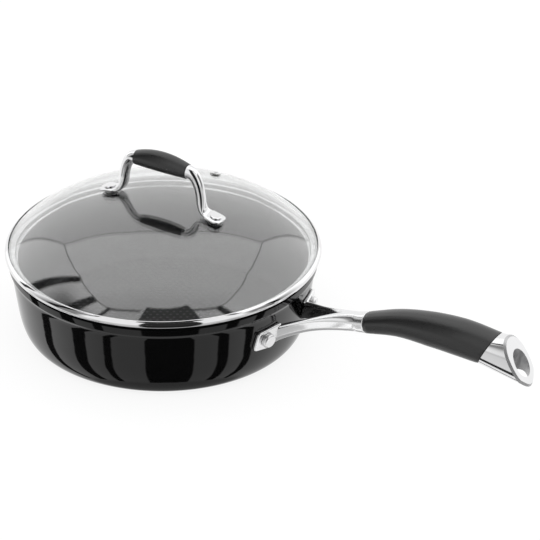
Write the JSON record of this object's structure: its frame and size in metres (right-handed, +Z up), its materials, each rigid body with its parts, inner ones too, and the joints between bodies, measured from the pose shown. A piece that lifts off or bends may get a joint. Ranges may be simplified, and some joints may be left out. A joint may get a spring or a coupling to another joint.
{
  "type": "frying pan with lid",
  "caption": "Deep black frying pan with a forked, soft-grip long handle and a domed glass lid with a steel rim, bow handle and steam vent.",
  "frame": {"origin": "centre of the resting face of the base, under the pan's axis", "axes": "+Z up along the pan's axis, +X along the long handle, +Y to the handle's left seen from the pan"},
  "size_m": [0.4558, 0.25, 0.1558],
  "materials": {
    "black_enamel": "gloss black enamel on aluminium",
    "brushed_disc": "turned stainless steel",
    "polished_steel": "mirror-polished stainless steel",
    "blackened_steel": "blackened steel",
    "soft_grip": "matte soft-touch silicone",
    "lid_glass": "clear toughened glass",
    "clear_silicone": "translucent silicone",
    "dark_silicone": "black silicone"
  },
  "bodies": {
    "pan": {"pan_body": "black_enamel", "induction_plate": "brushed_disc", "handle_bracket": "polished_steel", "handle_rivet_left": "polished_steel", "handle_rivet_right": "polished_steel", "handle_grip": "soft_grip", "handle_end_cap": "polished_steel"},
    "lid": {"lid_glass": "lid_glass", "lid_rim_band": "polished_steel", "lid_bow_handle": "polished_steel", "lid_handle_grip": "soft_grip", "lid_bolt_front": "polished_steel", "lid_spacer_front": "polished_steel", "lid_top_washer_front": "dark_silicone", "lid_bottom_washer_front": "dark_silicone", "lid_nut_front": "blackened_steel", "lid_bolt_rear": "polished_steel", "lid_spacer_rear": "polished_steel", "lid_top_washer_rear": "dark_silicone", "lid_bottom_washer_rear": "dark_silicone", "lid_nut_rear": "blackened_steel", "vent_eyelet": "polished_steel", "vent_grommet": "clear_silicone"}
  },
  "joints": [
    {"name": "lid_lift", "type": "slide", "parent": "pan", "child": "lid", "axis": [0, 0, 1], "range_m": [0, 0.16]}
  ]
}
